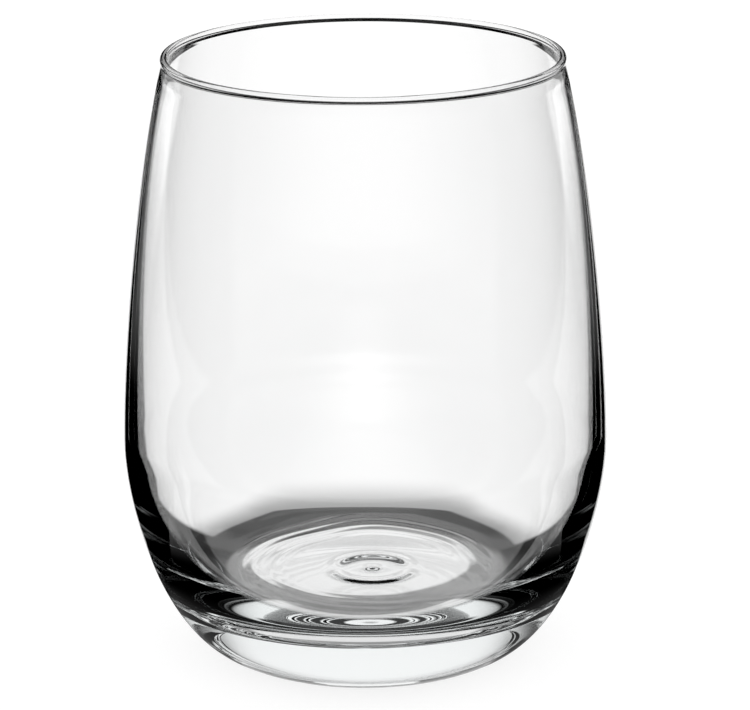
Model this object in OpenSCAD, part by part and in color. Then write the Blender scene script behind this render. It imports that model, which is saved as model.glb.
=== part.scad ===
// Stemless wine glass: one piece of clear blown glass, drawn as the outline of its wall
// turned about the upright axis. The origin is the middle of the foot, on the table.
// All lengths are in millimetres.

/* [Bowl outside] */
// Height of the glass from the table to the top of the rim
glass_h = 110; // [100:0.5:125]
// Radius of the bowl at its widest
belly_r = 43.9; // [41:0.1:48]
// Height of the widest place above the table
belly_z = 38.9; // [34:0.1:44]
// Radius of the outside just under the rim
neck_r = 35.8; // [33:0.1:38]
// Height over which the rim is turned, from the neck to the top
neck_h = 1.6; // [1.4:0.1:3]
// Length of the tangent that leads the side upwards from the widest place
belly_rise = 10.8; // [4:0.1:20]
// Length over which the side runs straight below the neck
neck_run = 24.1; // [12:0.1:34]
// How far the side moves out over that length
neck_lean = 5.7; // [3:0.1:7]

/* [Foot] */
// Outer radius of the flat ring that the glass stands on
foot_r = 25.5; // [23:0.1:28]
// Width of that ring
foot_w = 3.6; // [2.5:0.1:5]
// How far the heel runs out before it turns up
heel_out = 11.7; // [6:0.1:14]
// How far the heel has risen over that length
heel_up = 2.5; // [1:0.1:4]
// Length of the tangent that leads the heel up into the widest place
heel_rise = 12; // [6:0.1:18]
// Height of the hollow under the foot
punt_h = 0.6; // [0.4:0.1:2]

/* [Wall] */
// Thickness of the rounded rim
rim_t = 1.3; // [1.2:0.1:2.4]
// Thickness of the wall just under the rim
neck_t = 1.1; // [1:0.1:2]
// Thickness of the wall at the widest place
belly_t = 2.2; // [1.6:0.1:2.8]

/* [Base inside] */
// Height of the inside floor above the table
floor_z = 11.4; // [9:0.1:13]
// How far the middle of the floor stands up
floor_rise = 0.3; // [0:0.1:1]
// Radius of the flattest part of the floor
floor_r = 24.2; // [20:0.1:26]
// Length of the tangent that leads the floor out into the side
floor_out = 11.6; // [8:0.1:13]
// Height of the widest place inside
well_z = 41.5; // [38:0.1:44]
// Length of the tangent that leads the inside down from there
well_drop = 13.6; // [10:0.1:16]

/* [Smoothness] */
// Steps in each long curve of the outline
curve_steps = 24; // [16:2:48]
// Steps in the round of the rim
rim_steps = 16; // [8:2:24]

/* [Hidden] */

// Facets of a full turn
turn_facets = 180;
// Tint of clear glass, red to alpha
glass_tint = [0.86, 0.91, 0.92, 0.4];

// How far along the foot and the floor the inner tangents of their curves reach
punt_share = [0.55, 0.8];
floor_share = [0.6, 0.4];
// Turn of the rim's round past the level, on the outside and on the inside
rim_turn_out = 30;
rim_turn_in = 30;

neck_z = glass_h - neck_h;
rim_r = neck_r - neck_t / 2;
well_r = belly_r - belly_t;
punt_r = foot_r - foot_w;

// One coordinate of a point at share t of a curve with four guide points
function blend(a, b, c, d, t) =
    a * pow(1 - t, 3) + 3 * b * t * pow(1 - t, 2) + 3 * c * t * t * (1 - t) + d * pow(t, 3);

// The points of such a curve, without its first one
function curve(a, b, c, d, steps) =
    [for (i = [1:steps]) [
        blend(a[0], b[0], c[0], d[0], i / steps),
        blend(a[1], b[1], c[1], d[1], i / steps)
    ]];

// The hollow under the foot, from the axis out to the ring
function punt_points() =
    curve([0, punt_h], [punt_r * punt_share[0], punt_h], [punt_r * punt_share[1], 0],
        [punt_r, 0], curve_steps / 2);

// The heel, from the ring up to the widest place
function heel_points() =
    curve([foot_r, 0], [foot_r + heel_out, heel_up], [belly_r, belly_z - heel_rise],
        [belly_r, belly_z], curve_steps);

// The side, from the widest place up to the neck
function side_points() =
    curve([belly_r, belly_z], [belly_r, belly_z + belly_rise],
        [neck_r + neck_lean, neck_z - neck_run], [neck_r, neck_z], curve_steps);

// The rounded rim, over the top from the outside to the inside
function rim_points() =
    [for (i = [0:rim_steps])
        let (turn = -rim_turn_out + i * (180 + rim_turn_out + rim_turn_in) / rim_steps)
        [rim_r + rim_t / 2 * cos(turn), glass_h - rim_t / 2 + rim_t / 2 * sin(turn)]];

// The inside of the side, from the neck down to the widest place
function inside_points() =
    curve([neck_r - neck_t, neck_z], [neck_r - neck_t + neck_lean, neck_z - neck_run],
        [well_r, well_z + belly_rise], [well_r, well_z], curve_steps);

// The inside of the base, from the widest place down to the floor
function well_points() =
    curve([well_r, well_z], [well_r, well_z - well_drop], [floor_r + floor_out, floor_z],
        [floor_r, floor_z], curve_steps);

// The floor, in to the axis
function floor_points() =
    curve([floor_r, floor_z], [floor_r * floor_share[0], floor_z],
        [floor_r * floor_share[1], floor_z + floor_rise], [0, floor_z + floor_rise],
        curve_steps / 2);

// The whole outline, round the glass from the axis under the foot to the axis on the floor
function glass_outline() = concat(
    [[0, punt_h]],
    punt_points(),
    [[foot_r, 0]],
    heel_points(),
    side_points(),
    rim_points(),
    [[neck_r - neck_t, neck_z]],
    inside_points(),
    well_points(),
    floor_points()
);

module stemless_glass() {
    color(glass_tint)
    rotate_extrude($fn = turn_facets)
    polygon(glass_outline());
}

stemless_glass();
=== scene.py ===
"""Stemless wine glass: the blown glass, its clear finish, and a plain bright stage round it.

The glass is one surface, turned about the upright axis from an outline of smooth curves. It stands
on a pale floor in even white light. A light tent that only the glass sees, with bright lanes on a
dark ground, draws its edges and its thick base.
All lengths are in metres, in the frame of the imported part: +Z is up, the foot is at the origin.
"""
import math

import bpy
import numpy as np
from bpy.props import FloatProperty, FloatVectorProperty, IntProperty, PointerProperty
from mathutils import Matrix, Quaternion, Vector


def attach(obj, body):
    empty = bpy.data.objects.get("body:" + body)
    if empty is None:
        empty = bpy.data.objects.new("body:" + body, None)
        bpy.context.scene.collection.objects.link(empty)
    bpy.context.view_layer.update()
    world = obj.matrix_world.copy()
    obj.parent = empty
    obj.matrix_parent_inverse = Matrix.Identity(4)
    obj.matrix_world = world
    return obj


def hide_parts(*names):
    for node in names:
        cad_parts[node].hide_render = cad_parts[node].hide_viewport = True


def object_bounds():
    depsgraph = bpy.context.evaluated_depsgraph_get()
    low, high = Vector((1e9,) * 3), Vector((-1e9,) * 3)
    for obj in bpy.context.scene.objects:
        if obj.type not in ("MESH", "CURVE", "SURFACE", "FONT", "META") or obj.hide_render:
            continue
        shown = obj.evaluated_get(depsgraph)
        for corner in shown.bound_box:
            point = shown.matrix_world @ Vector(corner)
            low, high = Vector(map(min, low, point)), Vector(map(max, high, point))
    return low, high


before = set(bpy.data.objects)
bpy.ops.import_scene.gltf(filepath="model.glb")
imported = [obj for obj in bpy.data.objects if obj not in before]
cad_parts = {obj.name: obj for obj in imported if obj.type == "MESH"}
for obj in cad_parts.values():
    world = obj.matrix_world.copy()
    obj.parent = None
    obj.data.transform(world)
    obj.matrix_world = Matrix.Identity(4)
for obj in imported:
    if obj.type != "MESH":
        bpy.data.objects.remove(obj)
CAD_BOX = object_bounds()

bl_info = {
    "name": "Stemless wine glass",
    "version": (1, 0, 0),
    "blender": (4, 5, 0),
    "location": "View3D > Sidebar > Glass",
    "description": "Blows a stemless wine glass and sets a bright stage round it",
    "category": "Object",
}

# The glass, the node of the CAD model that it replaces, and its body
GLASS_NAME = "blown_glass"
CAD_NODE = "stemless_glass"
BODY = "root"

CAD_HEIGHT = CAD_BOX[1][2] - CAD_BOX[0][2]
CAD_RADIUS = max(CAD_BOX[1][0] - CAD_BOX[0][0], CAD_BOX[1][1] - CAD_BOX[0][1]) / 2

# Width in pixels of the picture that the focal length is given for, and width of the sensor
PHOTO_WIDTH = 750
SENSOR_MM = 36.0
# Nearest and farthest distance that the camera sees, in metres
CLIP_NEAR = 0.01
CLIP_FAR = 100.0
# How often light may pass or bounce on its way through the glass, and bounce off it
GLASS_BOUNCES = 24
GLOSSY_BOUNCES = 12

# How far along the foot and the floor the inner guide points of their curves lie
PUNT_SHARES = (0.55, 0.8)
FLOOR_SHARES = (0.6, 0.4)
# Turn of the rim's round past the level, outside and inside, and the steps in that round
RIM_TURN = math.radians(30)
RIM_STEPS = 20
# Steps across the flat foot ring
FOOT_STEPS = 4

# Mean strength of the ripples, then how it varies round the floor and how far the ripples are out
# of round: waves in a full turn, their size and their phase
RIPPLE_MEAN = 0.50
RIPPLE_STRENGTH = ((1, 0.40, -0.9), (3, 0.20, 0.6))
RIPPLE_BEND = ((3, 0.0006, 1.0), (7, 0.0002, 0.0))
# Softness of the ripples' inner and outer edge, and heights over the floor between which they end
RIPPLE_BLUR = 0.0025
RIPPLE_END = (0.003, 0.005)

# The noise that makes the waves of the mould's skin: its octaves, and the strength of each next one
WAVE_DETAIL = 1.0
WAVE_ROUGHNESS = 0.3
# Roughness of the matt floor
FLOOR_ROUGHNESS = 0.8

# Points round the tent, and from the bottom of its dome to the top
TENT_COLUMNS = 721
DOME_ROWS = 91
# Rows of the tent's floor in equal steps: first and last radius and how many
NEAR_ROWS = (0.00001, 0.08, 160)
# Rows of its floor in growing steps, out to the tent's radius: first radius and how many
FAR_ROWS = (0.081, 100)
# Least half angle of the side lanes, as a share of their full one
SIDE_LEAST = 0.5
# Softness of an edge of light in the tent, as a share of the place or angle where the edge lies
CRISP = 0.05
SOFT = 0.15
HAZY = 0.4
FADED = 1.0


class BowlSizes(bpy.types.PropertyGroup):
    """Sizes of the outline, in metres."""

    height: FloatProperty(
        name="Height", description="From the table to the top of the rim",
        default=CAD_HEIGHT, min=0.08, max=0.14, unit="LENGTH", precision=4)
    belly_radius: FloatProperty(
        name="Belly radius", description="Outside radius at the widest place",
        default=CAD_RADIUS, min=0.03, max=0.06, unit="LENGTH", precision=4)
    belly_height: FloatProperty(
        name="Belly height", description="Height of the widest place",
        default=0.0389, min=0.02, max=0.06, unit="LENGTH", precision=4)
    neck_radius: FloatProperty(
        name="Neck radius", description="Outside radius just under the rim",
        default=0.0358, min=0.025, max=0.05, unit="LENGTH", precision=4)
    neck_height: FloatProperty(
        name="Neck height", description="From the neck to the top of the rim",
        default=0.0016, min=0.001, max=0.004, unit="LENGTH", precision=4)
    belly_rise: FloatProperty(
        name="Belly rise", description="Tangent that leads the side up from the widest place",
        default=0.0108, min=0.002, max=0.03, unit="LENGTH", precision=4)
    neck_run: FloatProperty(
        name="Neck run", description="Length over which the side runs straight below the neck",
        default=0.0241, min=0.01, max=0.04, unit="LENGTH", precision=4)
    neck_lean: FloatProperty(
        name="Neck lean", description="How far the side moves out over that length",
        default=0.0057, min=0.0, max=0.01, unit="LENGTH", precision=4)
    foot_radius: FloatProperty(
        name="Foot radius", description="Outer radius of the flat ring under the glass",
        default=0.0255, min=0.015, max=0.035, unit="LENGTH", precision=4)
    foot_width: FloatProperty(
        name="Foot width", description="Width of that ring",
        default=0.0036, min=0.001, max=0.006, unit="LENGTH", precision=4)
    heel_out: FloatProperty(
        name="Heel out", description="How far the heel runs out before it turns up",
        default=0.0117, min=0.004, max=0.016, unit="LENGTH", precision=4)
    heel_up: FloatProperty(
        name="Heel up", description="How far the heel has risen over that length",
        default=0.0025, min=0.0005, max=0.006, unit="LENGTH", precision=4)
    heel_rise: FloatProperty(
        name="Heel rise", description="Tangent that leads the heel up into the widest place",
        default=0.012, min=0.004, max=0.02, unit="LENGTH", precision=4)
    punt_height: FloatProperty(
        name="Punt height", description="Height of the hollow under the foot",
        default=0.0006, min=0.0003, max=0.004, unit="LENGTH", precision=4)
    rim_thickness: FloatProperty(
        name="Rim thickness", description="Thickness of the rounded rim",
        default=0.0013, min=0.0008, max=0.003, unit="LENGTH", precision=4)
    neck_thickness: FloatProperty(
        name="Neck thickness", description="Thickness of the wall under the rim",
        default=0.0011, min=0.0008, max=0.003, unit="LENGTH", precision=4)
    belly_thickness: FloatProperty(
        name="Belly thickness", description="Thickness of the wall at the widest place",
        default=0.0022, min=0.0008, max=0.005, unit="LENGTH", precision=4)
    well_height: FloatProperty(
        name="Well height", description="Height of the widest place inside",
        default=0.0415, min=0.02, max=0.06, unit="LENGTH", precision=4)
    well_drop: FloatProperty(
        name="Well drop", description="Tangent that leads the inside down from there",
        default=0.0115, min=0.004, max=0.026, unit="LENGTH", precision=4)
    floor_height: FloatProperty(
        name="Floor height", description="Height of the inside floor",
        default=0.0114, min=0.004, max=0.016, unit="LENGTH", precision=4)
    floor_rise: FloatProperty(
        name="Floor rise", description="How far the middle of the floor stands up",
        default=0.0003, min=-0.002, max=0.003, unit="LENGTH", precision=4)
    floor_radius: FloatProperty(
        name="Floor radius", description="Radius of the flattest part of the floor",
        default=0.0242, min=0.008, max=0.028, unit="LENGTH", precision=4)
    floor_out: FloatProperty(
        name="Floor out", description="Tangent that leads the floor out into the side",
        default=0.0116, min=0.003, max=0.02, unit="LENGTH", precision=4)
    ripple_height: FloatProperty(
        name="Ripple height", description="Height of the ripples on the inside floor",
        default=0.00010, min=0.0, max=0.0005, unit="LENGTH", precision=6)
    ripple_length: FloatProperty(
        name="Ripple length", description="From one ripple to the next",
        default=0.0028, min=0.001, max=0.01, unit="LENGTH", precision=4)
    ripple_shift: FloatProperty(
        name="Ripple shift", description="How far the ripples' middle lies off the axis",
        default=0.0008, min=0.0, max=0.005, unit="LENGTH", precision=4)
    ripple_turn: FloatProperty(
        name="Ripple turn", description="Turn of the ripples and of the mark about the axis",
        default=math.radians(45), subtype="ANGLE")
    ripple_near: FloatProperty(
        name="Ripple near", description="Radius from which the ripples show",
        default=0.0165, min=0.0, max=0.03, unit="LENGTH", precision=4)
    ripple_far: FloatProperty(
        name="Ripple far", description="Radius to which they show",
        default=0.0260, min=0.0, max=0.03, unit="LENGTH", precision=4)
    mark_radius: FloatProperty(
        name="Mark radius", description="Radius of the ring mark in the middle of the floor",
        default=0.0070, min=0.001, max=0.01, unit="LENGTH", precision=4)
    mark_right: FloatProperty(
        name="Mark right", description="How far across the floor the mark's middle lies off the axis",
        default=0.0012, min=-0.005, max=0.005, unit="LENGTH", precision=4)
    mark_near: FloatProperty(
        name="Mark near", description="How far along the floor the mark's middle lies off the axis",
        default=0.0025, min=-0.005, max=0.005, unit="LENGTH", precision=4)
    mark_width: FloatProperty(
        name="Mark width", description="Half the width of the mark's ridge",
        default=0.0016, min=0.0002, max=0.003, unit="LENGTH", precision=4)
    mark_height: FloatProperty(
        name="Mark height", description="Height of the mark's ridge",
        default=0.0004, min=0.0, max=0.001, unit="LENGTH", precision=6)
    turns: IntProperty(
        name="Facets", description="Facets of a full turn", default=256, min=64, max=360)
    steps: IntProperty(
        name="Steps", description="Steps in each long curve", default=56, min=16, max=96)


class GlassFinish(bpy.types.PropertyGroup):
    """Look of the glass."""

    tint: FloatVectorProperty(
        name="Tint", description="Colour of light that has passed the surface",
        default=(1.0, 1.0, 1.0), size=3, min=0.0, max=1.0, subtype="COLOR")
    index: FloatProperty(
        name="Index", description="Refractive index of soda-lime glass",
        default=1.52, min=1.3, max=1.8)
    depth_colour: FloatVectorProperty(
        name="Depth colour", description="Colour that thick glass tends to",
        default=(0.82, 0.86, 0.86), size=3, min=0.0, max=1.0, subtype="COLOR")
    depth_density: FloatProperty(
        name="Depth density", description="How fast glass darkens with depth, per metre",
        default=8.0, min=0.0, max=200.0)
    wave_count: FloatProperty(
        name="Wave count", description="Waves of the mould's skin in a metre round the glass",
        default=70.0, min=0.0)
    wave_stretch: FloatProperty(
        name="Wave stretch", description="Waves up the glass for each wave round it",
        default=0.35, min=0.0, max=1.0)
    wave_height: FloatProperty(
        name="Wave height", description="Height of those waves",
        default=0.000004, min=0.0, max=0.001, unit="LENGTH", precision=6)


class StageSettings(bpy.types.PropertyGroup):
    """Light, floor and camera."""

    surround: FloatProperty(
        name="Surround", description="Brightness of the white surround", default=1.08, min=0.0)
    floor_size: FloatProperty(
        name="Floor size", description="Half the width of the floor",
        default=6.0, min=1.0, unit="LENGTH")
    floor_drop: FloatProperty(
        name="Floor drop", description="How far under the foot the floor lies",
        default=0.0003, min=0.0, max=0.001, unit="LENGTH", precision=5)
    floor_grey: FloatProperty(
        name="Floor grey", description="Share of the light that the floor throws back",
        default=0.25, min=0.0, max=1.0, subtype="FACTOR")
    floor_light: FloatProperty(
        name="Floor light", description="Light of the floor's own", default=0.84, min=0.0)
    camera_distance: FloatProperty(
        name="Camera distance", description="From the glass's axis, along the floor",
        default=0.620, min=0.2, unit="LENGTH", precision=4)
    camera_height: FloatProperty(
        name="Camera height", description="Above the floor",
        default=0.24155, min=0.0, unit="LENGTH", precision=5)
    facing: FloatProperty(
        name="Facing", description="Direction that the camera looks in, clockwise from +Y",
        default=math.radians(-45), subtype="ANGLE")
    aim: FloatVectorProperty(
        name="Aim", description="Point that the middle of the picture shows",
        default=(0.00183, 0.0, 0.05429), size=3, subtype="XYZ", unit="LENGTH", precision=5)
    roll: FloatProperty(
        name="Roll", description="Turn of the camera about its own line of sight",
        default=-0.005, subtype="ANGLE")
    focal_pixels: FloatProperty(
        name="Focal length", description="In pixels of a picture 750 pixels wide",
        default=3576.3, min=500.0)


class TentSettings(bpy.types.PropertyGroup):
    """The light tent round the glass, which only the glass sees. Away means the way that the
    camera looks."""

    radius: FloatProperty(
        name="Radius", description="Radius of the tent",
        default=3.0, unit="LENGTH", precision=4)
    lift: FloatProperty(
        name="Lift", description="Height of its floor over the foot",
        default=-0.0001, unit="LENGTH", precision=4)
    lane_start: FloatProperty(
        name="Lane start", description="Half width of the bright lane behind the glass, at the axis",
        default=0.036, unit="LENGTH", precision=4)
    lane_growth: FloatProperty(
        name="Lane growth", description="Growth of that half width over the distance",
        default=0.30)
    lane_most: FloatProperty(
        name="Lane most", description="Greatest half width of the lane",
        default=0.155, unit="LENGTH", precision=4)
    lane_shift: FloatProperty(
        name="Lane shift", description="How far the lane lies to the right",
        default=0.004, unit="LENGTH", precision=4)
    lane_angle: FloatProperty(
        name="Lane angle", description="Widest half angle of the lane",
        default=math.radians(56), subtype="ANGLE")
    lane_narrow: FloatProperty(
        name="Lane narrow", description="Narrowest half angle of the lane",
        default=math.radians(7), subtype="ANGLE")
    lane_blur: FloatProperty(
        name="Lane blur", description="Softness of its edges, as a share of the half angle",
        default=0.03, min=0.0, max=1.0, subtype="FACTOR")
    side_turn: FloatProperty(
        name="Side turn", description="Direction of the two side lanes",
        default=math.radians(45), subtype="ANGLE")
    side_near: FloatProperty(
        name="Side near", description="Distance at which the side lanes start",
        default=0.24, unit="LENGTH", precision=4)
    side_far: FloatProperty(
        name="Side far", description="Distance at which they have their full brightness",
        default=1.2, unit="LENGTH", precision=4)
    side_dim: FloatProperty(
        name="Side dim", description="Share of that brightness at their near end",
        default=0.10, min=0.0, max=1.0, subtype="FACTOR")
    side_half: FloatProperty(
        name="Side half", description="Half angle of the side lanes",
        default=math.radians(14), subtype="ANGLE")
    side_thin: FloatProperty(
        name="Side thin", description="By how much the side lanes are narrower than that angle",
        default=0.02, unit="LENGTH", precision=4)
    front_half: FloatProperty(
        name="Front half", description="Half width of the lane in front of the glass",
        default=0.10, unit="LENGTH", precision=4)
    front_near: FloatProperty(
        name="Front near", description="Distance at which the front lane starts",
        default=0.075, unit="LENGTH", precision=4)
    front_far: FloatProperty(
        name="Front far", description="Distance at which it ends",
        default=0.75, unit="LENGTH", precision=4)
    front_glow: FloatProperty(
        name="Front glow", description="Brightness of the front lane",
        default=0.75, min=0.0, max=1.0, subtype="FACTOR")
    ring: FloatProperty(
        name="Ring", description="Radius of the dark ring round the back of the foot",
        default=0.033, unit="LENGTH", precision=4)
    ring_back: FloatProperty(
        name="Ring back", description="How far away its middle lies from the axis",
        default=0.012, unit="LENGTH", precision=4)
    ring_left: FloatProperty(
        name="Ring left", description="How far to the left its middle lies",
        default=0.0015, unit="LENGTH", precision=4)
    ring_haze: FloatProperty(
        name="Ring haze", description="Width over which the lanes dim towards the ring, behind it",
        default=0.028, unit="LENGTH", precision=4)
    ring_thin: FloatProperty(
        name="Ring thin", description="By how much of its width that haze is thinner at the sides",
        default=0.65, min=0.0, max=1.0, subtype="FACTOR")
    ring_edge: FloatProperty(
        name="Ring edge", description="Share of the brightness left at the ring",
        default=0.35, min=0.0, max=1.0, subtype="FACTOR")
    ring_side: FloatProperty(
        name="Ring side", description="Direction at which the haze gets thinner",
        default=math.radians(23.5), subtype="ANGLE")
    ring_blur: FloatProperty(
        name="Ring blur", description="Softness of the ring's edge",
        default=0.0007, unit="LENGTH", precision=5)
    ring_turn: FloatProperty(
        name="Ring turn", description="Direction to which the ring has a brightness of its own",
        default=math.radians(60), subtype="ANGLE")
    ring_glow: FloatProperty(
        name="Ring glow", description="Brightness of the ring",
        default=0.05, min=0.0, max=1.0, subtype="FACTOR")
    under: FloatProperty(
        name="Under", description="Radius of the shade under the glass",
        default=0.03, unit="LENGTH", precision=4)
    under_glow: FloatProperty(
        name="Under glow", description="Brightness of that shade",
        default=0.28, min=0.0, max=1.0, subtype="FACTOR")
    pool: FloatProperty(
        name="Pool", description="Radius of the bright pool of light under the glass",
        default=0.0186, unit="LENGTH", precision=4)
    pool_wide: FloatProperty(
        name="Pool wide", description="Its width over its depth",
        default=1.22)
    pool_back: FloatProperty(
        name="Pool back", description="How far away its middle lies from the axis",
        default=0.0104, unit="LENGTH", precision=4)
    pool_left: FloatProperty(
        name="Pool left", description="How far to the left its middle lies",
        default=0.0015, unit="LENGTH", precision=4)
    pool_glow: FloatProperty(
        name="Pool glow", description="Brightness of the pool",
        default=0.88, min=0.0, max=1.0, subtype="FACTOR")
    apron_turn: FloatProperty(
        name="Apron turn", description="Direction from which the near side of the floor is bright",
        default=math.radians(75), subtype="ANGLE")
    apron_near: FloatProperty(
        name="Apron near", description="Distance at which that brightness starts",
        default=0.023, unit="LENGTH", precision=4)
    apron_far: FloatProperty(
        name="Apron far", description="Distance at which it ends",
        default=0.045, unit="LENGTH", precision=4)
    apron_glow: FloatProperty(
        name="Apron glow", description="Brightness of the near side of the floor",
        default=0.12, min=0.0, max=1.0, subtype="FACTOR")
    crescent_near: FloatProperty(
        name="Crescent near", description="Distance at which the bright crescent in front starts",
        default=0.0215, unit="LENGTH", precision=4)
    crescent_far: FloatProperty(
        name="Crescent far", description="Distance at which it ends",
        default=0.040, unit="LENGTH", precision=4)
    crescent_turn: FloatProperty(
        name="Crescent turn", description="Direction from which it is bright",
        default=math.radians(125), subtype="ANGLE")
    crescent_glow: FloatProperty(
        name="Crescent glow", description="Its brightness",
        default=0.8, min=0.0, max=1.0, subtype="FACTOR")
    dome_turn: FloatProperty(
        name="Dome turn", description="Half angle of the bright panel behind the glass",
        default=math.radians(42), subtype="ANGLE")
    dome_low: FloatProperty(
        name="Dome low", description="Elevation of its lower edge",
        default=math.radians(13), subtype="ANGLE")
    dome_high: FloatProperty(
        name="Dome high", description="Elevation of its upper edge",
        default=math.radians(32), subtype="ANGLE")
    dome_strip: FloatProperty(
        name="Dome strip", description="Height of the low strips at the sides",
        default=math.radians(3), subtype="ANGLE")
    dome_crown: FloatProperty(
        name="Dome crown", description="Elevation over which it is dim overhead",
        default=math.radians(52), subtype="ANGLE")
    dome_top: FloatProperty(
        name="Dome top", description="Brightness overhead",
        default=0.06, min=0.0, max=1.0, subtype="FACTOR")
    dome_front: FloatProperty(
        name="Dome front", description="Brightness low in front of the glass",
        default=0.3, min=0.0, max=1.0, subtype="FACTOR")
    front_turn: FloatProperty(
        name="Front turn", description="Direction from which the dome's low front glows",
        default=math.radians(137), subtype="ANGLE")
    front_high: FloatProperty(
        name="Front high", description="Elevation to which it glows",
        default=math.radians(20), subtype="ANGLE")


def curve(a, b, c, d, steps):
    """Points of a cubic curve with guide points a, b, c and d, without its first point.

    A point is (1-t)^3 a + 3t(1-t)^2 b + 3t^2(1-t) c + t^3 d, with t in equal steps up to 1.
    """
    a, b, c, d = (np.asarray(p, float) for p in (a, b, c, d))
    t = np.linspace(0.0, 1.0, steps + 1)[1:, None]
    return a * (1 - t) ** 3 + 3 * b * t * (1 - t) ** 2 + 3 * c * t * t * (1 - t) + d * t ** 3


def rim_round(s, steps):
    """The rim: a circle of half the rim's thickness, from a little below level outside, over the
    top, to a little below level inside."""
    radius = s.rim_thickness / 2
    middle = s.neck_radius - s.neck_thickness / 2
    turn = np.linspace(-RIM_TURN, math.pi + RIM_TURN, steps + 1)
    return np.stack([middle + radius * np.cos(turn), s.height - radius + radius * np.sin(turn)], 1)


def outline(s):
    """The closed outline, as rows of radius and height: under the foot from the axis, up the
    outside, over the rim, down the inside and across the floor to the axis."""
    punt = s.foot_radius - s.foot_width
    neck_z = s.height - s.neck_height
    well = s.belly_radius - s.belly_thickness
    neck_in = s.neck_radius - s.neck_thickness
    half = s.steps // 2
    return np.vstack([
        [(0.0, s.punt_height)],
        curve((0, s.punt_height), (punt * PUNT_SHARES[0], s.punt_height),
              (punt * PUNT_SHARES[1], 0), (punt, 0), half),
        curve((punt, 0), (punt, 0), (s.foot_radius, 0), (s.foot_radius, 0), FOOT_STEPS),
        curve((s.foot_radius, 0), (s.foot_radius + s.heel_out, s.heel_up),
              (s.belly_radius, s.belly_height - s.heel_rise),
              (s.belly_radius, s.belly_height), s.steps),
        curve((s.belly_radius, s.belly_height), (s.belly_radius, s.belly_height + s.belly_rise),
              (s.neck_radius + s.neck_lean, neck_z - s.neck_run), (s.neck_radius, neck_z), half),
        rim_round(s, RIM_STEPS),
        curve((neck_in, neck_z), (neck_in + s.neck_lean, neck_z - s.neck_run),
              (well, s.well_height + s.belly_rise), (well, s.well_height), half),
        curve((well, s.well_height), (well, s.well_height - s.well_drop),
              (s.floor_radius + s.floor_out, s.floor_height), (s.floor_radius, s.floor_height),
              s.steps * 2),
        curve((s.floor_radius, s.floor_height),
              (s.floor_radius * FLOOR_SHARES[0], s.floor_height),
              (s.floor_radius * FLOOR_SHARES[1], s.floor_height + s.floor_rise),
              (0, s.floor_height + s.floor_rise), s.steps * 2),
    ])


def round_waves(turn, waves):
    """The sum of s sin(n a + p) at angle a, for waves of number n, size s and phase p."""
    return sum(size * np.sin(count * turn + phase) for count, size, phase in waves)


def floor_waves(x, y, s):
    """Height of the ripples that the plunger left on the inside floor, and of the mark in its
    middle.

    Both are turned about the axis by one angle. The ripples are a sin(2 pi p / w), with p the
    distance from a point beside the axis, bent a little out of round, w the wave length and a
    fading out at the middle and at the edge. The mark is a ring-shaped ridge,
    m exp(-((q - r) / b)^2), with q the distance from its own middle, and a dot there.
    """
    turn = np.arctan2(y, x) - s.ripple_turn
    out = np.hypot(x, y)
    x, y = out * np.cos(turn), out * np.sin(turn)
    p = np.hypot(x - s.ripple_shift, y + s.ripple_shift)
    fade = step(s.ripple_near - RIPPLE_BLUR, s.ripple_near + RIPPLE_BLUR, p)
    fade = fade * (1 - step(s.ripple_far - RIPPLE_BLUR, s.ripple_far + RIPPLE_BLUR, out))
    strength = RIPPLE_MEAN + round_waves(turn, RIPPLE_STRENGTH)
    bent = p + round_waves(turn, RIPPLE_BEND)
    ripples = s.ripple_height * fade * strength * np.sin(2 * math.pi * bent / s.ripple_length)
    q = np.hypot(x - s.mark_right, y + s.mark_near)
    ridge = np.exp(-((q - s.mark_radius) / s.mark_width) ** 2) + np.exp(-(q / s.mark_width) ** 2)
    return ripples + s.mark_height * ridge


def turned(name, line, turns, wave):
    """A surface turned about the upright axis from an outline that starts and ends on the axis.

    Point (i, j) is (r_i cos a_j, r_i sin a_j, z_i), with a_j in equal shares of a full turn. The
    first and last points are single poles, so the surface is closed. The wave, a height worked out
    from x and y, is added to the points of the inside floor.
    """
    ring = line[1:-1]
    count = len(ring)
    angle = np.arange(turns) * (2 * math.pi / turns)
    grid = np.stack([
        ring[:, :1] * np.cos(angle), ring[:, :1] * np.sin(angle),
        np.repeat(ring[:, 1:], turns, axis=1)], axis=2).reshape(-1, 3)
    top = int(ring[:, 1].argmax())
    inside = grid[top * turns:]
    low_part = 1 - step(*RIPPLE_END, inside[:, 2] - line[-1, 1])
    inside[:, 2] += wave(inside[:, 0], inside[:, 1]) * low_part
    poles = np.array([[0, 0, line[0, 1]], [0, 0, line[-1, 1] + float(wave(0.0, 0.0))]])
    points = np.vstack([grid, poles])
    low = count * turns
    high = low + 1
    here = np.arange(turns)
    ahead = np.roll(here, -1)
    rows = np.arange(count - 1)[:, None] * turns
    quads = np.stack([rows + here, rows + ahead, rows + turns + ahead, rows + turns + here], axis=2)
    first = np.stack([np.full(turns, low), ahead, here], axis=1)
    last_row = (count - 1) * turns
    last = np.stack([last_row + here, last_row + ahead, np.full(turns, high)], axis=1)
    return surface(name, points, [quads.reshape(-1, 4), first, last])


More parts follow.
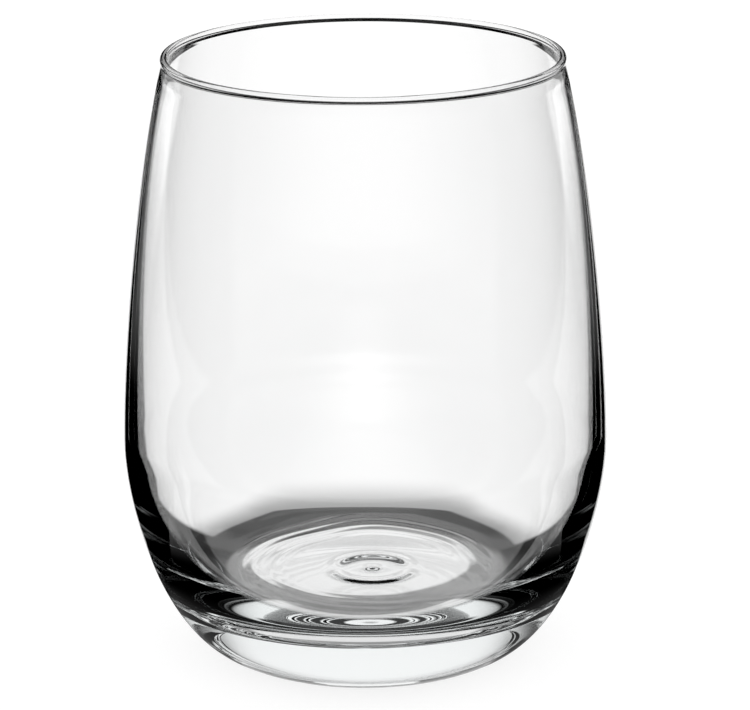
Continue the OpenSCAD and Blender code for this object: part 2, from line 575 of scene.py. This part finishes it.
def surface(name, points, face_groups):
    """A smooth mesh object from an array of points and, for each corner count, an array of faces
    as rows of point numbers."""
    corners = np.concatenate([g.ravel() for g in face_groups]).astype(np.int32)
    sizes = np.concatenate([np.full(len(g), g.shape[1]) for g in face_groups])
    starts = np.concatenate([[0], np.cumsum(sizes)[:-1]]).astype(np.int32)
    mesh = bpy.data.meshes.new(name)
    mesh.vertices.add(len(points))
    mesh.vertices.foreach_set("co", points.astype(np.float32).ravel())
    mesh.loops.add(len(corners))
    mesh.loops.foreach_set("vertex_index", corners)
    mesh.polygons.add(len(sizes))
    mesh.polygons.foreach_set("loop_start", starts)
    mesh.polygons.foreach_set("use_smooth", np.ones(len(sizes), bool))
    mesh.update(calc_edges=True)
    mesh.validate()
    piece = bpy.data.objects.new(name, mesh)
    bpy.context.scene.collection.objects.link(piece)
    return piece


def clear_glass(finish):
    """Clear glass: a refracting surface with faint waves from the mould, over glass that darkens
    a little with depth."""
    material = bpy.data.materials.new("clear_glass")
    material.use_nodes = True
    nodes = material.node_tree.nodes
    links = material.node_tree.links
    shader = nodes["Principled BSDF"]
    shader.inputs["Roughness"].default_value = 0.0
    shader.inputs["IOR"].default_value = finish.index
    shader.inputs["Transmission Weight"].default_value = 1.0
    shader.inputs["Base Color"].default_value = (*finish.tint, 1)
    place = nodes.new("ShaderNodeTexCoord")
    drawn = nodes.new("ShaderNodeMapping")
    drawn.inputs["Scale"].default_value = (finish.wave_count, finish.wave_count,
                                           finish.wave_count * finish.wave_stretch)
    links.new(place.outputs["Object"], drawn.inputs["Vector"])
    waves = nodes.new("ShaderNodeTexNoise")
    waves.inputs["Scale"].default_value = 1.0
    waves.inputs["Detail"].default_value = WAVE_DETAIL
    waves.inputs["Roughness"].default_value = WAVE_ROUGHNESS
    links.new(drawn.outputs["Vector"], waves.inputs["Vector"])
    relief = nodes.new("ShaderNodeBump")
    relief.inputs["Strength"].default_value = 1.0
    relief.inputs["Distance"].default_value = finish.wave_height
    links.new(waves.outputs["Fac"], relief.inputs["Height"])
    links.new(relief.outputs["Normal"], shader.inputs["Normal"])
    depth = nodes.new("ShaderNodeVolumeAbsorption")
    depth.inputs["Color"].default_value = (*finish.depth_colour, 1)
    depth.inputs["Density"].default_value = finish.depth_density
    links.new(depth.outputs["Volume"], nodes["Material Output"].inputs["Volume"])
    return material


def pale_floor(stage):
    """The floor: matt, and lifted to almost white by light of its own, so that what shadow falls
    on it stays faint."""
    material = bpy.data.materials.new("pale_floor")
    material.use_nodes = True
    shader = material.node_tree.nodes["Principled BSDF"]
    shader.inputs["Base Color"].default_value = (*[stage.floor_grey] * 3, 1)
    shader.inputs["Roughness"].default_value = FLOOR_ROUGHNESS
    shader.inputs["Specular IOR Level"].default_value = 0.0
    shader.inputs["Emission Color"].default_value = (1, 1, 1, 1)
    shader.inputs["Emission Strength"].default_value = stage.floor_light
    return material


def tent_cloth():
    """Cloth of the light tent: it glows as its own glow attribute says."""
    material = bpy.data.materials.new("tent_cloth")
    material.use_nodes = True
    nodes = material.node_tree.nodes
    nodes.clear()
    glow = nodes.new("ShaderNodeAttribute")
    glow.attribute_name = "glow"
    shader = nodes.new("ShaderNodeEmission")
    out = nodes.new("ShaderNodeOutputMaterial")
    material.node_tree.links.new(glow.outputs["Fac"], shader.inputs["Strength"])
    material.node_tree.links.new(shader.outputs[0], out.inputs["Surface"])
    material.cycles.emission_sampling = "NONE"
    return material


def step(low, high, x):
    """0 below low, 1 above high, and 3t^2 - 2t^3 between them."""
    t = np.clip((x - low) / (high - low), 0, 1)
    return t * t * (3 - 2 * t)


def within(edge, soft, x):
    """1 where x is less than the edge, 0 where it is more, blurred over a share of the edge."""
    return 1 - step(edge * (1 - soft), edge * (1 + soft), x)


def beyond(edge, soft, x):
    """0 where x is less than the edge, 1 where it is more, blurred over a share of the edge."""
    return step(edge * (1 - soft), edge * (1 + soft), x)


def back_lane(x, y, t):
    """The lane behind the glass: bright within a half angle arcsin(w / r) of straight away, where
    the half width w grows evenly with the distance r up to a greatest one."""
    radius = np.hypot(x, y)
    turn = np.abs(np.arctan2(x - t.lane_shift * (y > 0), y))
    half = np.minimum(t.lane_start + t.lane_growth * radius, t.lane_most)
    edge = np.clip(np.arcsin(np.clip(half / radius, 0, 1)), t.lane_narrow, t.lane_angle)
    return within(edge, t.lane_blur, turn)


def side_lanes(x, y, t):
    """Two lanes far out at the sides, which light the glass when it is seen from there.

    Their half angle is h - w / r at the distance r, but no less than a share of h. Their
    brightness rises from a dim share at their near end to 1 far out.
    """
    radius = np.hypot(x, y)
    turn = np.abs(np.abs(np.arctan2(x, y)) - t.side_turn)
    edge = np.maximum(t.side_half - t.side_thin / radius, t.side_half * SIDE_LEAST)
    bright = t.side_dim + (1 - t.side_dim) * step(t.side_near, t.side_far, radius)
    return bright * beyond(t.side_near, SOFT, radius) * within(edge, SOFT, turn)


def front_lane(x, y, t):
    """A dimmer lane in front of the glass, faded at its sides, which lights the glass when it is
    seen from behind."""
    radius = np.hypot(x, y)
    reach = beyond(t.front_near, SOFT, radius) * within(t.front_far, SOFT, radius)
    return t.front_glow * reach * within(t.front_half, FADED, np.abs(x)) * (y < 0)


def ringed(x, y, t):
    """The lanes, cut off by a dark ring round the back of the foot and dimmed by a haze behind it.

    With d the distance from the ring, the haze is e + (1 - e) times a smooth step over d from 0 to
    its width, which is less at the sides.
    """
    turn = np.abs(np.arctan2(x, y))
    d = np.hypot(x + t.ring_left, y - t.ring_back) - t.ring
    width = t.ring_haze * (1 - t.ring_thin * beyond(t.ring_side, HAZY, turn))
    haze = t.ring_edge + (1 - t.ring_edge) * step(0, width, d)
    lanes = np.maximum(back_lane(x, y, t), side_lanes(x, y, t))
    ring = t.ring_glow * (1 - step(0, 2 * t.ring_blur, d)) * (turn < t.ring_turn)
    return np.maximum(lanes * haze * step(-t.ring_blur, t.ring_blur, d), ring)


def foot_lights(x, y, t):
    """The light close round the foot: a shade under the glass with a bright oval pool in it, an
    even dim apron on the near side and a bright crescent straight in front.

    The shade and the pool are discs, the pool drawn out by its width over its depth. The apron
    and the crescent are parts of rings, between two radii and past an angle from straight away.
    The greatest brightness of the four holds.
    """
    radius = np.hypot(x, y)
    under = t.under_glow * within(t.under, CRISP, radius)
    from_pool = np.hypot((x + t.pool_left) / t.pool_wide, y - t.pool_back)
    pool = t.pool_glow * within(t.pool, CRISP, from_pool)
    apron = beyond(t.apron_near, CRISP, radius) * within(t.apron_far, SOFT, radius)
    turn = np.abs(np.arctan2(x, y))
    apron = apron * beyond(t.apron_turn, SOFT, turn)
    crescent = beyond(t.crescent_near, CRISP, radius) * within(t.crescent_far, SOFT, radius)
    crescent = crescent * beyond(t.crescent_turn, CRISP, turn)
    near = np.maximum(t.apron_glow * apron, t.crescent_glow * crescent)
    return np.maximum(np.maximum(under, pool), near)


def floor_glow(x, y, t):
    """Brightness of the tent's floor, with x to the right and y away as the camera looks: the
    greatest of all its lanes and lights."""
    return np.maximum(np.maximum(ringed(x, y, t), front_lane(x, y, t)), foot_lights(x, y, t))


def dome_glow(rise, angle, t):
    """Brightness of the tent's dome by elevation and direction: a panel behind the glass, two low
    strips at the sides, a dim top and a dim low front.

    Each is a product of blurred steps in elevation and in the angle from straight away, and the
    greatest of the four holds.
    """
    turn = np.abs((angle + math.pi) % (2 * math.pi) - math.pi)
    panel = within(t.dome_turn, HAZY, turn)
    panel = panel * beyond(t.dome_low, SOFT, rise) * within(t.dome_high, SOFT, rise)
    strips = within(t.side_half, SOFT, np.abs(turn - t.side_turn))
    strips = strips * within(t.dome_strip, HAZY, rise)
    top = t.dome_top * beyond(t.dome_crown, SOFT, rise)
    front = t.dome_front * beyond(t.front_turn, SOFT, turn) * within(t.front_high, HAZY, rise)
    return np.maximum(np.maximum(panel, strips), np.maximum(top, front))


def tent_part(name, grid, glow, material):
    """A part of the tent from a grid of points, each joined to the next in its row and in its
    column, with its brightness kept at each point. Only the glass sees it: the camera, the matt
    floor and the shadows don't."""
    rows, cols = glow.shape
    here = np.arange(rows - 1)[:, None] * cols
    col = np.arange(cols - 1)
    quads = np.stack([here + col, here + col + 1, here + cols + col + 1, here + cols + col], 2)
    part = surface(name, grid.reshape(-1, 3), [quads.reshape(-1, 4)])
    attribute = part.data.attributes.new("glow", "FLOAT", "POINT")
    attribute.data.foreach_set("value", glow.astype(np.float32).ravel())
    part.data.materials.append(material)
    part.visible_camera = False
    part.visible_diffuse = False
    part.visible_shadow = False
    return part


class GLASS_OT_blow(bpy.types.Operator):
    """Blow the glass from the sizes in the panel and give it its clear finish"""

    bl_idname = "glass.blow"
    bl_label = "Blow the glass"

    def execute(self, context):
        sizes = context.scene.bowl_sizes
        piece = turned(GLASS_NAME, outline(sizes), sizes.turns,
                       lambda x, y: floor_waves(x, y, sizes))
        piece.data.materials.append(clear_glass(context.scene.glass_finish))
        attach(piece, BODY)
        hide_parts(CAD_NODE)
        return {"FINISHED"}


class GLASS_OT_stage(bpy.types.Operator):
    """Lay the pale floor, light it, pitch the light tent round the glass and set the camera"""

    bl_idname = "glass.stage"
    bl_label = "Set the stage"

    def execute(self, context):
        stage = context.scene.glass_stage
        corners = np.array([[-1, -1, 0], [1, -1, 0], [1, 1, 0], [-1, 1, 0]]) * stage.floor_size
        corners[:, 2] = -stage.floor_drop
        floor = surface("floor", corners, [np.array([[0, 1, 2, 3]])])
        floor.data.materials.append(pale_floor(stage))

        world = bpy.data.worlds.new("white_surround")
        world.use_nodes = True
        backdrop = world.node_tree.nodes["Background"]
        backdrop.inputs["Color"].default_value = (1, 1, 1, 1)
        backdrop.inputs["Strength"].default_value = stage.surround
        context.scene.world = world

        self.pitch_tent(stage, context.scene.light_tent)
        self.aim_camera(context, stage)
        context.scene.view_settings.view_transform = "Standard"
        context.scene.view_settings.look = "None"
        context.scene.cycles.max_bounces = GLASS_BOUNCES
        context.scene.cycles.transmission_bounces = GLASS_BOUNCES
        context.scene.cycles.glossy_bounces = GLOSSY_BOUNCES
        return {"FINISHED"}

    def pitch_tent(self, stage, tent):
        """The tent's floor and dome, turned as the camera is. Rows run outwards on the floor and
        upwards on the dome, and columns run round them.

        At direction a, a point of the floor is r (sin a, cos a) at one height, and a point of the
        dome at elevation e is R (cos e sin a, cos e cos a, sin e).
        """
        cloth = tent_cloth()
        angle = np.linspace(0, 2 * math.pi, TENT_COLUMNS)[None]
        sine, cosine = np.sin(angle + stage.facing), np.cos(angle + stage.facing)
        first, count = FAR_ROWS
        radius = np.concatenate([np.linspace(*NEAR_ROWS),
                                 np.geomspace(first, tent.radius, count)])[:, None]
        flat = np.stack([radius * sine, radius * cosine, tent.lift + 0 * radius * angle], 2)
        glow = floor_glow(radius * np.sin(angle), radius * np.cos(angle), tent)
        tent_part("tent_floor", flat, glow * stage.surround, cloth)
        rise = np.linspace(0, math.pi / 2, DOME_ROWS)[:, None]
        high = tent.radius * np.stack([np.cos(rise) * sine, np.cos(rise) * cosine,
                                       np.sin(rise) + 0 * angle], 2)
        tent_part("tent_dome", high, dome_glow(rise, angle, tent) * stage.surround, cloth)

    def aim_camera(self, context, stage):
        """Stand the camera in front, look at the aim point, then roll about the line of sight."""
        data = bpy.data.cameras.new("camera")
        camera = bpy.data.objects.new("camera", data)
        context.scene.collection.objects.link(camera)
        about = Quaternion((0, 0, 1), -stage.facing)
        place = about @ Vector((0, -stage.camera_distance, stage.camera_height))
        look = (about @ Vector(stage.aim) - place).to_track_quat("-Z", "Y")
        camera.location = place
        camera.rotation_mode = "QUATERNION"
        camera.rotation_quaternion = look @ Quaternion((0, 0, 1), stage.roll)
        data.sensor_width = SENSOR_MM
        data.lens = stage.focal_pixels * SENSOR_MM / PHOTO_WIDTH
        data.clip_start = CLIP_NEAR
        data.clip_end = CLIP_FAR
        context.scene.camera = camera


class GLASS_PT_panel(bpy.types.Panel):
    """Sizes, finish and stage of the glass"""

    bl_idname = "GLASS_PT_panel"
    bl_label = "Stemless wine glass"
    bl_space_type = "VIEW_3D"
    bl_region_type = "UI"
    bl_category = "Glass"

    def draw(self, context):
        scene = context.scene
        for group in (scene.bowl_sizes, scene.glass_finish, scene.glass_stage,
                      scene.light_tent):
            box = self.layout.box()
            for name in group.__annotations__:
                box.prop(group, name)
        self.layout.operator(GLASS_OT_blow.bl_idname)
        self.layout.operator(GLASS_OT_stage.bl_idname)


CLASSES = (BowlSizes, GlassFinish, StageSettings, TentSettings, GLASS_OT_blow, GLASS_OT_stage,
           GLASS_PT_panel)


def register():
    """Register the classes and give the scene its four groups of settings."""
    for cls in CLASSES:
        bpy.utils.register_class(cls)
    bpy.types.Scene.bowl_sizes = PointerProperty(type=BowlSizes)
    bpy.types.Scene.glass_finish = PointerProperty(type=GlassFinish)
    bpy.types.Scene.glass_stage = PointerProperty(type=StageSettings)
    bpy.types.Scene.light_tent = PointerProperty(type=TentSettings)


def unregister():
    """Take away the settings and the classes, last one first."""
    del bpy.types.Scene.light_tent
    del bpy.types.Scene.glass_stage
    del bpy.types.Scene.glass_finish
    del bpy.types.Scene.bowl_sizes
    for cls in reversed(CLASSES):
        bpy.utils.unregister_class(cls)


def main():
    """Set the stage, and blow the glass."""
    register()
    bpy.ops.glass.stage()
    bpy.ops.glass.blow()


if __name__ == "__main__":
    main()
